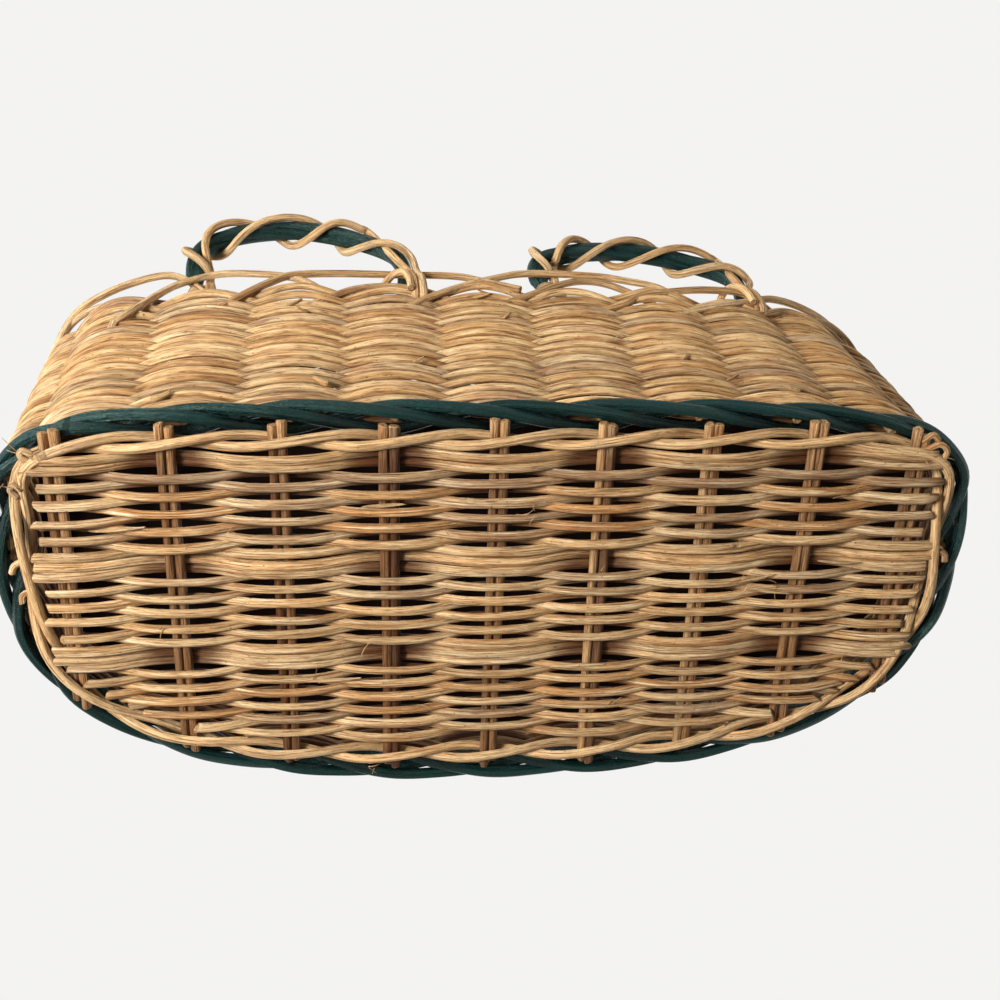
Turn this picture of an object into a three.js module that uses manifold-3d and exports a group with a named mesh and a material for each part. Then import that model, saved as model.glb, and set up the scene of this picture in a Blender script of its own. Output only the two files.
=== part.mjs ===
// Half-moon wall basket: an open-weave base, close-woven walls on upright stakes,
// a dark green wale round the foot, a scalloped border and two bow handles.
// Millimetres, +Z up, flat back towards +Y, origin at the bottom centre of the whole basket.
import * as THREE from 'three';
import { mergeVertices } from 'three/addons/utils/BufferGeometryUtils.js';
import Module from 'manifold-3d';

const wasm = await Module();
wasm.setup();

// Driving dimensions: rods
const weaverDiameter = 3.7;
const bandRodDiameter = 4.1;
const stickDiameter = 4.2;
const stakeDiameter = 4;
const waleDiameter = 4.7;
const bindingDiameter = 3.9;
const handleCoreDiameter = 10;
const wrapDiameter = 3.6;
const rodSides = 6;
const weaverSides = 5;
const stakeSides = 5;
const coreSides = 8;
const seatGap = 0.32;
const pairPitch = 0.97;
const grooveShare = 0.45;

// Driving dimensions: plan of the base, out to its edge binding
const baseHalfWidth = 212;
const baseBackDepth = 61;
const baseFrontDepth = 108;
const baseBackRoundness = 6;
const frontRoundness = 2.7;
const bindingSideTurns = 1;
const bindingLevelMost = 0.32;
const bindingSlantLeast = 0.4;
const stationProbe = 0.02;

// Driving dimensions: how far the ring of stakes stands outside the edge of the base
const footSideStep = 9;
const footBackStep = 7;
const footFrontStep = 12;
const footBackRoundness = 5;
const footCornerRoundness = 4.8;
const rimCornerRoundness = 3.3;

// Driving dimensions: green wale round the foot
const waleCrossGap = 0.4;
const waleCrossover = 1.05;
const waleBelly = 1.06;

// Driving dimensions: walls
const wallRows = 31;
const wallInnerSteps = 12;
const wallRowPitch = 3.58;
const backLean = THREE.MathUtils.degToRad(12.8);
const sideLean = THREE.MathUtils.degToRad(0.8);
const frontLean = THREE.MathUtils.degToRad(11);
const wallWebThickness = 4;
const valleySkin = 0.7;

// Driving dimensions: base weave
const stickPairs = 9;
const outerPairInset = 16;
const fieldRows = [9, 9, 11];
const bandRods = [2, 3, 3];
const restBand = 1;
const rowEndInset = 7;
const rowEndStagger = 0.9;
const bandEndInset = 5;
const stickEndOverhang = 5;
const rowStartGap = 1.6;
const frontRowGap = 4.9;
const rowEndPast = 2;

// Driving dimensions: stakes and border
const outerStakeInset = 35;
const sideStakes = 3;
const borderRise = 14.5;
const borderSpan = 2;

// Driving dimensions: bow handles
const leftHandle = { legs: [[3, 7], [1, -4.5]], rise: 62, skew: 12 };
const rightHandle = { legs: [[-1, 11], [-3, -5]], rise: 53, skew: 14 };
const handleLean = THREE.MathUtils.degToRad(28);
const handleSwell = 0.3;
const handleLegDiameter = 3.8;
const handleLegDepth = 18;
const handleLegClear = 1.03;
const bowFullness = 0.9;
const bowTaper = 2;
const bowProbe = 0.004;
const wrapSeatGap = 0.54;
const wrapTurns = 4.5;
const wrapStepsPerTurn = 24;
const wrapEndDepth = 8;

// Derived plan
const stickReach = (stickPairs - 1) / 2;
const stickSpacing = (baseHalfWidth - outerPairInset) / stickReach;
const footHalfWidth = baseHalfWidth + footSideStep;
const footBackDepth = baseBackDepth + footBackStep;
const footFrontDepth = baseFrontDepth + footFrontStep;
const backStakeSpacing = (footHalfWidth - outerStakeInset) / stickReach;
const bindingTwist = bindingDiameter / 2 + seatGap;
const bindingInside = bindingTwist + bindingDiameter / 2;
const baseRods = [...fieldRows, ...bandRods].reduce((sum, rods) => sum + rods, 0);
const firstRowEdge = baseBackDepth - bindingInside - rowStartGap;
const lastRowEdge = -(baseFrontDepth - bindingInside - frontRowGap);
const baseRowPitch = (firstRowEdge - lastRowEdge) / baseRods;

// Derived heights
const hexFlat = Math.cos(Math.PI / rodSides);
const stickHalf = (stickDiameter / 2) * hexFlat;
const pairShoulder = (stickDiameter * (pairPitch + 0.5)) / 2;
const pairHalfWidth = (stickDiameter * (pairPitch + 1)) / 2;
const bandHalf = (bandRodDiameter / 2) * hexFlat;
const bindingHalf = (bindingDiameter / 2) * hexFlat;
const seatOn = (half) => stickHalf + half + seatGap;
const crossingLift = (half) => seatOn(half) / (1 - (2 * pairShoulder) / stickSpacing);
const bandLift = crossingLift(bandHalf);
const weaverLift = crossingLift(weaverDiameter / 2);
const baseMidZ = bandLift + bandHalf;
const bindingLift = seatOn(bindingHalf);
const waleRise = waleDiameter / 2 + waleCrossGap;
const waleZ = baseMidZ + bindingLift + bindingHalf + seatGap + waleDiameter / 2;
const wallStart = waleRise * waleCrossover + waleDiameter / 2 + seatGap;
const wallHeight = (wallRows - 1) * wallRowPitch;
const wallTop = wallStart + wallHeight;
const stakeBulge = stakeDiameter / 2 + weaverDiameter;
const channelDiameter = stakeDiameter + (2 * seatGap) / Math.cos(Math.PI / stakeSides);
const stakeValley = channelDiameter / 2 + valleySkin;

// Finishes
const finish = {
  weave: { color: 0xc9a36a, roughness: 0.62, metalness: 0 },
  stick: { color: 0xb98d58, roughness: 0.66, metalness: 0 },
  binding: { color: 0xc2a06c, roughness: 0.6, metalness: 0 },
  border: { color: 0xcaa874, roughness: 0.6, metalness: 0 },
  green: { color: 0x0f3430, roughness: 0.35, metalness: 0 },
};

const basket = new THREE.Group();

function addPart(name, geometry, look) {
  const mesh = new THREE.Mesh(geometry, new THREE.MeshStandardMaterial(finish[look]));
  mesh.name = name;
  basket.add(mesh);
  return mesh;
}

// Plan outlines: two half superellipses that meet on the widest line.
// The back corner towards -X may be rounder than the other one.
function outline(halfWidth, backDepth, frontDepth, backRoundness, cornerRoundness = backRoundness) {
  const roundnessAt = (x, y) => {
    if (y < 0) return frontRoundness;
    return x < 0 ? cornerRoundness : backRoundness;
  };
  const point = (angle) => {
    const c = Math.cos(angle);
    const s = Math.sin(angle);
    const n = roundnessAt(c, s);
    const depth = s >= 0 ? backDepth : frontDepth;
    const radius = ((Math.abs(c) / halfWidth) ** n + (Math.abs(s) / depth) ** n) ** (-1 / n);
    return new THREE.Vector2(radius * c, radius * s);
  };
  const angleAtX = (x, back) => {
    const n = roundnessAt(x, back ? 1 : -1);
    const rise = (back ? backDepth : -frontDepth) * (1 - Math.abs(x / halfWidth) ** n) ** (1 / n);
    return (Math.atan2(rise, x) + 2 * Math.PI) % (2 * Math.PI);
  };
  const halfWidthAt = (y) => {
    const n = roundnessAt(1, y);
    const depth = y >= 0 ? backDepth : frontDepth;
    const ratio = Math.min(1, Math.abs(y / depth));
    return halfWidth * (1 - ratio ** n) ** (1 / n);
  };
  return { point, angleAtX, halfWidthAt };
}

// A walk along an outline by arc length, so that points between stations space evenly
function walk(ring) {
  const samples = 2880;
  const lengths = [0];
  for (let i = 1; i <= samples; i += 1) {
    const a = ring.point((2 * Math.PI * (i - 1)) / samples);
    const b = ring.point((2 * Math.PI * i) / samples);
    lengths.push(lengths[i - 1] + a.distanceTo(b));
  }
  const total = lengths[samples];
  const lengthAt = (angle) => {
    const turns = Math.floor(angle / (2 * Math.PI));
    const k = (angle / (2 * Math.PI) - turns) * samples;
    const i = Math.floor(k);
    return turns * total + THREE.MathUtils.lerp(lengths[i], lengths[Math.min(i + 1, samples)], k - i);
  };
  const angleAt = (length) => {
    const turns = Math.floor(length / total);
    const rest = length - turns * total;
    let low = 0;
    let high = samples;
    while (high - low > 1) {
      const mid = (low + high) >> 1;
      if (lengths[mid] > rest) high = mid;
      else low = mid;
    }
    const k = low + (rest - lengths[low]) / (lengths[high] - lengths[low]);
    return 2 * Math.PI * (turns + k / samples);
  };
  return { lengthAt, angleAt };
}

// Stations: one at each stick pair or stake along the back and the front, and a few round each side
function stations(ring, backSpacing, frontSpacing, perSide) {
  const path = walk(ring);
  const back = [];
  const front = [];
  for (let k = -stickReach; k <= stickReach; k += 1) {
    back.push(path.lengthAt(ring.angleAtX(-k * backSpacing, true)));
    front.push(path.lengthAt(ring.angleAtX(k * frontSpacing, false)));
  }
  const total = path.lengthAt(2 * Math.PI);
  const between = (from, to) => Array.from({ length: perSide },
    (_, i) => from + ((to - from) * (i + 1)) / (perSide + 1));
  const lengths = [
    ...back,
    ...between(back[back.length - 1], front[0]),
    ...front,
    ...between(front[front.length - 1], back[0] + total),
  ];
  const count = lengths.length;
  const angle = (s) => {
    const turns = Math.floor(s / count);
    const r = s - turns * count;
    const i = Math.floor(r);
    const next = i + 1 < count ? lengths[i + 1] : lengths[0] + total;
    return path.angleAt(turns * total + THREE.MathUtils.lerp(lengths[i], next, r - i));
  };
  return { count, angle };
}

const footRing = outline(footHalfWidth, footBackDepth, footFrontDepth, footBackRoundness, footCornerRoundness);
const wallRise = wallTop * Math.cos(backLean);
const rimWidening = 1 + (wallRise * Math.tan(sideLean)) / footHalfWidth;
const rimBackDeepening = 1 + (wallRise * Math.tan(backLean)) / footBackDepth;
const rimFrontDeepening = 1 + (wallRise * Math.tan(frontLean)) / footFrontDepth;
const rimRing = outline(
  footHalfWidth * rimWidening,
  footBackDepth * rimBackDeepening,
  footFrontDepth * rimFrontDeepening,
  footBackRoundness,
  rimCornerRoundness,
);
const stakeStations = stations(footRing, backStakeSpacing, stickSpacing, sideStakes);
const stakeCount = stakeStations.count;

// The wall at a station: where its stake line starts, the way up along it, and the way out of it
function wallFrame(station) {
  const angle = stakeStations.angle(station);
  const foot = footRing.point(angle);
  const deepening = foot.y > 0 ? rimBackDeepening : rimFrontDeepening;
  const rim = rimRing.point(Math.atan2(foot.y * deepening, foot.x * rimWidening));
  const ahead = footRing.point(stakeStations.angle(station + stationProbe));
  const behind = footRing.point(stakeStations.angle(station - stationProbe));
  const base = new THREE.Vector3(foot.x, foot.y, waleZ);
  const up = new THREE.Vector3(rim.x - foot.x, rim.y - foot.y, wallRise).normalize();
  const along = new THREE.Vector3(ahead.x - behind.x, ahead.y - behind.y, 0).normalize();
  const out = new THREE.Vector3().crossVectors(along, up).normalize();
  return { base, up, out, along };
}

function onWall(station, height, offset) {
  const f = wallFrame(station);
  return f.base.clone().addScaledVector(f.up, height).addScaledVector(f.out, offset);
}

// Zigzags across a section from its first point, so that sections with grooves are capped as well
function capTriangles(sides) {
  const triangles = [[0, 1, sides - 1]];
  for (let s = 1; s + 1 < sides - s; s += 1) {
    triangles.push([s, s + 1, sides - s]);
    if (s + 1 < sides - s - 1) triangles.push([s + 1, sides - s - 1, sides - s]);
  }
  return triangles;
}

// A closed solid from rings of points; loops round when closed, or is capped at both ends
function solidFromRings(rings, closed = false) {
  const sides = rings[0].length;
  const count = rings.length;
  const positions = rings.flat().flatMap((p) => [p.x, p.y, p.z]);
  const index = [];
  const at = (ring, side) => (ring % count) * sides + (side % sides);
  const spans = closed ? count : count - 1;
  for (let r = 0; r < spans; r += 1) {
    for (let s = 0; s < sides; s += 1) {
      index.push(at(r, s), at(r, s + 1), at(r + 1, s + 1));
      index.push(at(r, s), at(r + 1, s + 1), at(r + 1, s));
    }
  }
  if (!closed) {
    for (const [a, b, c] of capTriangles(sides)) {
      index.push(at(0, a), at(0, c), at(0, b), at(count - 1, a), at(count - 1, b), at(count - 1, c));
    }
  }
  const geometry = new THREE.BufferGeometry();
  geometry.setAttribute('position', new THREE.Float32BufferAttribute(positions, 3));
  geometry.setIndex(index);
  geometry.computeVertexNormals();
  return geometry;
}

// Rod cross-sections, as points to the side and along the reference direction
function roundProfile(diameter, sides = rodSides) {
  return Array.from({ length: sides }, (_, i) => {
    const turn = (2 * Math.PI * (i + 0.5)) / sides + Math.PI / 2;
    return new THREE.Vector2(Math.cos(turn), Math.sin(turn)).multiplyScalar(diameter / 2);
  });
}

// Several rods lying side by side, as one section with a groove between neighbours
function sideBySideProfile(diameter, rods, flatLength = 0) {
  const radius = diameter / 2;
  const pitch = diameter * pairPitch;
  const flat = radius * hexFlat;
  const half = radius / 2 + flatLength;
  const groove = flat * grooveShare;
  const start = (-(rods - 1) * pitch) / 2;
  const top = [];
  const bottom = [];
  for (let i = 0; i < rods; i += 1) {
    const centre = start + i * pitch;
    if (i > 0) {
      top.push(new THREE.Vector2(centre - pitch / 2, groove));
      bottom.push(new THREE.Vector2(centre - pitch / 2, -groove));
    }
    top.push(new THREE.Vector2(centre - half, flat), new THREE.Vector2(centre + half, flat));
    bottom.push(new THREE.Vector2(centre - half, -flat), new THREE.Vector2(centre + half, -flat));
  }
  const left = new THREE.Vector2(start - radius, 0);
  const right = new THREE.Vector2(-start + radius, 0);
  return [left, ...bottom, right, ...top.reverse()];
}

// Sweeps a section along points, mitred at each point, kept level with a reference direction
function sweep(points, profile, reference, closed = false, scaleAt = () => 1) {
  const count = points.length;
  const rings = points.map((point, i) => {
    const previous = closed ? points[(i - 1 + count) % count] : points[Math.max(i - 1, 0)];
    const next = closed ? points[(i + 1) % count] : points[Math.min(i + 1, count - 1)];
    const before = point.clone().sub(previous).normalize();
    const after = next.clone().sub(point).normalize();
    const tangent = before.clone().add(after).normalize();
    const upward = reference(point, i).clone();
    upward.addScaledVector(tangent, -upward.dot(tangent)).normalize();
    const side = new THREE.Vector3().crossVectors(upward, tangent).normalize();
    const scale = scaleAt(i);
    return profile.map((q) => point.clone()
      .addScaledVector(side, q.x * scale).addScaledVector(upward, q.y * scale));
  });
  return solidFromRings(rings, closed);
}

const worldUp = () => new THREE.Vector3(0, 0, 1);
const worldDown = () => new THREE.Vector3(0, 0, -1);

// Solids for joining and cutting
function toSolid(geometry) {
  const bare = geometry.clone();
  bare.deleteAttribute('normal');
  bare.deleteAttribute('uv');
  const merged = mergeVertices(bare, 1e-4);
  const mesh = new wasm.Mesh({
    numProp: 3,
    vertProperties: new Float32Array(merged.attributes.position.array),
    triVerts: new Uint32Array(merged.index.array),
  });
  return new wasm.Manifold(mesh);
}

function toGeometry(solid) {
  const mesh = solid.getMesh();
  const geometry = new THREE.BufferGeometry();
  geometry.setAttribute('position', new THREE.Float32BufferAttribute(mesh.vertProperties, 3));
  geometry.setIndex(Array.from(mesh.triVerts));
  geometry.computeVertexNormals();
  return geometry;
}

// Base sticks: nine pairs laid front to back, each pair two rods side by side
const baseRing = outline(baseHalfWidth, baseBackDepth, baseFrontDepth, baseBackRoundness);
const stickEndRing = outline(
  baseHalfWidth + stickEndOverhang,
  baseBackDepth + stickEndOverhang,
  baseFrontDepth + stickEndOverhang,
  baseBackRoundness,
);

function stickX(pair) {
  return (pair - 1 - stickReach) * stickSpacing;
}

function buildSticks() {
  for (let pair = 1; pair <= stickPairs; pair += 1) {
    const x = stickX(pair);
    const back = stickEndRing.point(stickEndRing.angleAtX(x, true)).y;
    const front = stickEndRing.point(stickEndRing.angleAtX(x, false)).y;
    const points = [back, front].map((y) => new THREE.Vector3(x, y, baseMidZ));
    addPart(`base_stick_pair_${pair}`, sweep(points, sideBySideProfile(stickDiameter, 2), worldUp), 'stick');
  }
}

// Base weave: bands of rods that weave as one, and single rods between them.
// Bands pass under the odd pairs and the singles take turns.
function baseRowPath(y, breadth, side, inset, lift, flatSpan) {
  const clear = bindingInside + seatGap;
  const ends = outline(baseHalfWidth - inset, baseBackDepth - clear, baseFrontDepth - inset, baseBackRoundness);
  let half = Math.min(ends.halfWidthAt(y + breadth / 2), ends.halfWidthAt(y - breadth / 2));
  const points = [];
  const pairs = [];
  for (let pair = 1; pair <= stickPairs; pair += 1) {
    const x = Math.abs(stickX(pair));
    if (x + rowEndPast < half) pairs.push(pair);
    else half = Math.min(half, x - pairHalfWidth - seatGap - (inset - bandEndInset));
  }
  const heightAt = (pair) => (pair % 2 === side ? -lift : lift);
  const endLift = (pair) => {
    const run = Math.min(half - Math.abs(stickX(pair)), stickSpacing);
    return heightAt(pair) * (1 - (2 * run) / stickSpacing);
  };
  points.push(new THREE.Vector3(-half, y, baseMidZ + endLift(pairs[0])));
  for (const pair of pairs) {
    const z = baseMidZ + heightAt(pair);
    if (flatSpan > 0) points.push(new THREE.Vector3(stickX(pair) - flatSpan / 2, y, z));
    points.push(new THREE.Vector3(stickX(pair) + flatSpan / 2, y, z));
  }
  points.push(new THREE.Vector3(half, y, baseMidZ + endLift(pairs[pairs.length - 1])));
  return points;
}

function buildBaseWeave() {
  let y = firstRowEdge;
  let row = 0;
  fieldRows.forEach((singles, field) => {
    const rods = bandRods[field];
    const band = sideBySideProfile(bandRodDiameter, rods);
    const breadth = rods * baseRowPitch;
    const flatSpan = field === restBand ? pairHalfWidth * 2 : 0;
    const bandPath = baseRowPath(y - breadth / 2, breadth, 1, bandEndInset, bandLift, flatSpan);
    addPart(`base_band_${field + 1}`, sweep(bandPath, band, worldUp), 'weave');
    y -= breadth;
    for (let k = 0; k < singles; k += 1) {
      row += 1;
      const centre = y - baseRowPitch / 2;
      const inset = rowEndInset + rowEndStagger * (row % 3);
      const path = baseRowPath(centre, baseRowPitch, k % 2, inset, weaverLift, 0);
      const name = `base_weaver_${String(row).padStart(2, '0')}`;
      addPart(name, sweep(path, roundProfile(weaverDiameter, weaverSides), worldDown), 'weave');
      y -= baseRowPitch;
    }
  });
}

// Edge binding: two rods that twine round the base, one under and one over each stick pair
const bindingStations = stations(baseRing, stickSpacing, stickSpacing, bindingSideTurns);

function bindingPoint(station, offset, z) {
  const p = baseRing.point(bindingStations.angle(station));
  const ahead = baseRing.point(bindingStations.angle(station + stationProbe));
  const behind = baseRing.point(bindingStations.angle(station - stationProbe));
  const out = new THREE.Vector2(ahead.y - behind.y, behind.x - ahead.x).normalize();
  return new THREE.Vector3(p.x + out.x * offset, p.y + out.y * offset, z);
}

// How far before or after a station the binding stays level, to clear the stick pair it meets there
function levelRun(station, heading) {
  const step = stationProbe * 5;
  const here = bindingPoint(station, 0, 0);
  const span = bindingPoint(station + heading * step, 0, 0).sub(here);
  const slant = Math.max(Math.abs(span.x) / span.length(), bindingSlantLeast);
  const breadth = pairHalfWidth + seatGap + (bindingDiameter / 2) * Math.sqrt(1 - slant ** 2);
  const crossing = breadth / slant;
  return heading * Math.min((crossing * step) / span.length(), bindingLevelMost);
}

function bindingPath(strand) {
  const points = [];
  for (let station = 0; station < bindingStations.count; station += 1) {
    const side = (station + strand) % 2 === 0 ? -1 : 1;
    const level = baseMidZ + side * bindingLift;
    points.push(bindingPoint(station + levelRun(station, -1), 0, level));
    points.push(bindingPoint(station + levelRun(station, 1), 0, level));
    points.push(bindingPoint(station + 0.5, -side * bindingTwist, baseMidZ));
  }
  return points;
}

function buildBinding() {
  ['a', 'b'].forEach((tag, strand) => {
    const tube = sweep(bindingPath(strand), roundProfile(bindingDiameter), worldUp, true);
    addPart(`edge_binding_rod_${tag}`, tube, 'binding');
  });
}

// Foot wale: three green rods; each passes outside two stakes and inside the third
function walePath(rod) {
  const reach = (stakeDiameter + waleDiameter) / 2 + seatGap * 2;
  const bellied = reach + waleBelly;
  const stroke = [
    { offset: reach, rise: waleRise },
    { offset: bellied, rise: 0 },
    { offset: reach, rise: -waleRise },
    { offset: 0, rise: -waleRise * waleCrossover },
    { offset: -reach, rise: 0 },
    { offset: 0, rise: waleRise * waleCrossover },
  ];
  return Array.from({ length: stakeCount * 2 }, (_, i) => {
    const step = stroke[(i + rod * 2) % stroke.length];
    return onWall(i / 2, step.rise, step.offset);
  });
}

function buildWale() {
  ['a', 'b', 'c'].forEach((tag, rod) => {
    const tube = sweep(walePath(rod), roundProfile(waleDiameter, 5), worldUp, true);
    addPart(`foot_wale_rod_${tag}`, tube, 'green');
  });
}

// Stakes and border: each stake stands in the wall, arches over the next one
// and ends in the foot of the arch after that, so every second stake hangs together
const stakeFoot = -waleRise - waleDiameter / 2;
const archStart = wallTop + stakeDiameter / 2;
const archPass = stakeDiameter + seatGap * 2;

function stakePath(stake) {
  const arch = [
    { reach: 0.13, rise: 0.55, offset: 1 },
    { reach: 0.3, rise: 0.94, offset: 1 },
    { reach: 0.45, rise: 1, offset: 0.5 },
    { reach: 0.62, rise: 0.8, offset: 0 },
    { reach: 1, rise: 0, offset: 0 },
  ];
  const points = [onWall(stake, stakeFoot, 0), onWall(stake, archStart, 0)];
  for (const { reach, rise, offset } of arch) {
    const height = archStart + rise * borderRise;
    points.push(onWall(stake + reach * borderSpan, height, offset * archPass));
  }
  const outward = [stake, stake, ...arch.map(({ reach }) => stake + reach * borderSpan)];
  return { points, outward };
}

function stakeTube(stake) {
  const { points, outward } = stakePath(stake);
  const reference = (point, i) => wallFrame(outward[i]).out;
  return sweep(points, roundProfile(stakeDiameter, stakeSides), reference);
}

function buildStakes() {
  ['a', 'b'].forEach((tag, first) => {
    let border = toSolid(stakeTube(first));
    for (let stake = first + 2; stake < stakeCount; stake += 2) {
      border = border.add(toSolid(stakeTube(stake)));
    }
    addPart(`stakes_and_border_${tag}`, toGeometry(border), 'border');
  });
}

// Handles: a green bow whose legs run down the inside of the wall beside two stakes,
// wrapped with one natural rod whose ends run down behind the same stakes
const legOffset = -(stakeDiameter / 2 + handleLegClear + handleLegDiameter / 2);
const bowStart = stakeDiameter / 2 + borderRise;
const wrapSeat = wrapSeatGap + wrapDiameter / 2;
const wrapEndReference = new THREE.Vector3(-1, 0, 0);

function backStation(x) {
  return stickReach - x / backStakeSpacing;
}

function handleShape({ legs, rise: height, skew }) {
  const feet = legs.map(([stake, side]) => stake * backStakeSpacing + side);
  const centre = (feet[0] + feet[1]) / 2;
  const top = feet.map((x) => onWall(backStation(x), wallTop + bowStart, legOffset));
  const rise = new THREE.Vector3(0, Math.sin(handleLean), Math.cos(handleLean));
  const normal = new THREE.Vector3(0, Math.cos(handleLean), -Math.sin(handleLean));
  const bow = (u) => {
    const turn = Math.PI * u;
    const foot = top[0].clone().lerp(top[1], u);
    const swell = 1 + handleSwell * Math.sin(turn);
    foot.x = centre + (top[0].x - centre) * Math.cos(turn) * swell + skew * Math.sin(turn) ** 2;
    return foot.addScaledVector(rise, (height - bowStart) * Math.sin(turn) ** bowFullness);
  };
  const coreRadius = (u) => {
    const growth = Math.min(1, bowTaper * Math.sin(Math.PI * Math.min(Math.max(u, 0), 1)));
    return (handleLegDiameter + (handleCoreDiameter - handleLegDiameter) * growth) / 2;
  };
  return { feet, normal, bow, coreRadius };
}

function legPath(foot) {
  const station = backStation(foot);
  const depths = [-handleLegDepth, stakeDiameter];
  return depths.map((height) => onWall(station, wallTop + height, legOffset));
}

function wrapEndPath(foot) {
  const station = backStation(foot - handleLegDiameter / 2 - wrapSeat);
  const depths = [-wrapEndDepth, stakeDiameter];
  return depths.map((height) => onWall(station, wallTop + height, legOffset));
}

function buildCore(name, shape) {
  const steps = 14;
  const points = [...legPath(shape.feet[0])];
  const radii = [handleLegDiameter / 2, handleLegDiameter / 2];
  for (let i = 0; i <= steps; i += 1) {
    points.push(shape.bow(i / steps));
    radii.push(shape.coreRadius(i / steps));
  }
  points.push(...legPath(shape.feet[1]).reverse());
  radii.push(handleLegDiameter / 2, handleLegDiameter / 2);
  const scaleAt = (i) => (radii[i] * 2) / handleCoreDiameter;
  const core = sweep(points, roundProfile(handleCoreDiameter, coreSides), () => shape.normal, false, scaleAt);
  addPart(name, core, 'green');
}

// The natural rod wound round a bow: straight up beside the first leg, in open turns along
// the bow, and straight down beside the second leg
function wrapPath(shape) {
  const steps = Math.round(wrapTurns * wrapStepsPerTurn);
  const points = [...wrapEndPath(shape.feet[0])];
  const radial = [wrapEndReference, wrapEndReference];
  for (let i = 0; i <= steps; i += 1) {
    const u = i / steps;
    const centre = shape.bow(u);
    const ahead = shape.bow(Math.min(u + bowProbe, 1));
    const behind = shape.bow(Math.max(u - bowProbe, 0));
    const tangent = ahead.sub(behind).normalize();
    const across = new THREE.Vector3().crossVectors(shape.normal, tangent).normalize();
    const turn = Math.PI - 2 * Math.PI * wrapTurns * u;
    const outward = across.multiplyScalar(Math.cos(turn)).addScaledVector(shape.normal, Math.sin(turn));
    points.push(centre.addScaledVector(outward, shape.coreRadius(u) + wrapSeat));
    radial.push(outward);
  }
  points.push(...wrapEndPath(shape.feet[1]).reverse());
  radial.push(wrapEndReference, wrapEndReference);
  return { points, radial };
}

// The least distance between the surfaces of two turns that lie half a turn or more apart
function leastSelfGap(points) {
  let least = Infinity;
  for (let i = 0; i < points.length; i += 1) {
    for (let j = i + wrapStepsPerTurn / 2; j < points.length; j += 1) {
      least = Math.min(least, points[i].distanceTo(points[j]));
    }
  }
  return least - wrapDiameter;
}

function buildWrap(name, shape) {
  const { points, radial } = wrapPath(shape);
  const tube = sweep(points, roundProfile(wrapDiameter), (point, i) => radial[i]);
  addPart(name, tube, 'binding');
  console.log(`${name} least self-gap ${leastSelfGap(points).toFixed(2)} mm`);
}

// Walls: every row passes outside one stake and inside the next, so both faces
// swell over the stakes in turn and draw in between them. The inner face takes a few rows a step.
function wallSection(column) {
  const station = column / 2;
  const onStake = column % 2 === 0;
  const reachOf = (turn) => {
    if (!onStake) return wallWebThickness / 2;
    return (turn + station) % 2 === 0 ? stakeBulge : stakeValley;
  };
  const outer = [];
  const inner = [];
  for (let row = 0; row < wallRows; row += 1) {
    outer.push(onWall(station, wallStart + row * wallRowPitch, reachOf(row)));
  }
  for (let step = 0; step < wallInnerSteps; step += 1) {
    const height = wallStart + (wallHeight * step) / (wallInnerSteps - 1);
    inner.push(onWall(station, height, -reachOf(step + 1)));
  }
  return [...inner, ...outer.reverse()];
}

// Room in the wall for a rod that runs straight down into it
function cutter(path, diameter, sides, reference) {
  const below = path[0].clone().sub(path[1]).setLength(seatGap).add(path[0]);
  const wide = diameter + (2 * seatGap) / Math.cos(Math.PI / sides);
  return toSolid(sweep([below, path[1]], roundProfile(wide, sides), () => reference));
}

function buildWall(shapes) {
  const sections = Array.from({ length: stakeCount * 2 }, (_, column) => wallSection(column));
  let wall = toSolid(solidFromRings(sections, true));
  for (let stake = 0; stake < stakeCount; stake += 1) {
    const { out } = wallFrame(stake);
    const ends = [onWall(stake, 0, 0), onWall(stake, archStart, 0)];
    const channel = sweep(ends, roundProfile(channelDiameter, stakeSides), () => out);
    wall = wall.subtract(toSolid(channel));
  }
  for (const { feet, normal } of shapes) {
    for (const foot of feet) {
      wall = wall.subtract(cutter(legPath(foot), handleLegDiameter, coreSides, normal));
      wall = wall.subtract(cutter(wrapEndPath(foot), wrapDiameter, rodSides, wrapEndReference));
    }
  }
  addPart('wall_weave', toGeometry(wall), 'weave');
}

// Puts the origin at the middle of the whole basket's footprint, on the surface it rests on
function settle() {
  const box = new THREE.Box3().setFromObject(basket);
  const middle = box.getCenter(new THREE.Vector3());
  for (const mesh of basket.children) {
    mesh.geometry.translate(-middle.x, -middle.y, -box.min.z);
  }
}

const leftShape = handleShape(leftHandle);
const rightShape = handleShape(rightHandle);

buildSticks();
buildBaseWeave();
buildBinding();
buildWale();
buildStakes();
buildWall([leftShape, rightShape]);
buildCore('handle_core_left', leftShape);
buildCore('handle_core_right', rightShape);
buildWrap('handle_wrap_left', leftShape);
buildWrap('handle_wrap_right', rightShape);
settle();

export default basket;
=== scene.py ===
import math
import bpy
import numpy as np
from mathutils import Matrix


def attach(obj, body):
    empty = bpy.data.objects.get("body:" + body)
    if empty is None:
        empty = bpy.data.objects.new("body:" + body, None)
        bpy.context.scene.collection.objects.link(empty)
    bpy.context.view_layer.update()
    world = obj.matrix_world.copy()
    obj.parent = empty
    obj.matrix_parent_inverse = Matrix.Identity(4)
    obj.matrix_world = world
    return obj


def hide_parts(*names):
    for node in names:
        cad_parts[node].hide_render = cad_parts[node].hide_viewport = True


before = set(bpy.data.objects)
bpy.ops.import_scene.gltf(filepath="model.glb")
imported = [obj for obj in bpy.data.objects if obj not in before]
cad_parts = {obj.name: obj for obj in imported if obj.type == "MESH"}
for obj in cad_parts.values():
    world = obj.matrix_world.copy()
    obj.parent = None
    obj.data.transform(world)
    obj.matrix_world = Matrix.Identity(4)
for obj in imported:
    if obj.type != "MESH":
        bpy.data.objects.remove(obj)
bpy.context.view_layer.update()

# The camera stands below the floor's level and looks up at the underside of the basket.
VIEW_RIGHT = (-0.995649, 0.030881, -0.087912)
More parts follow.
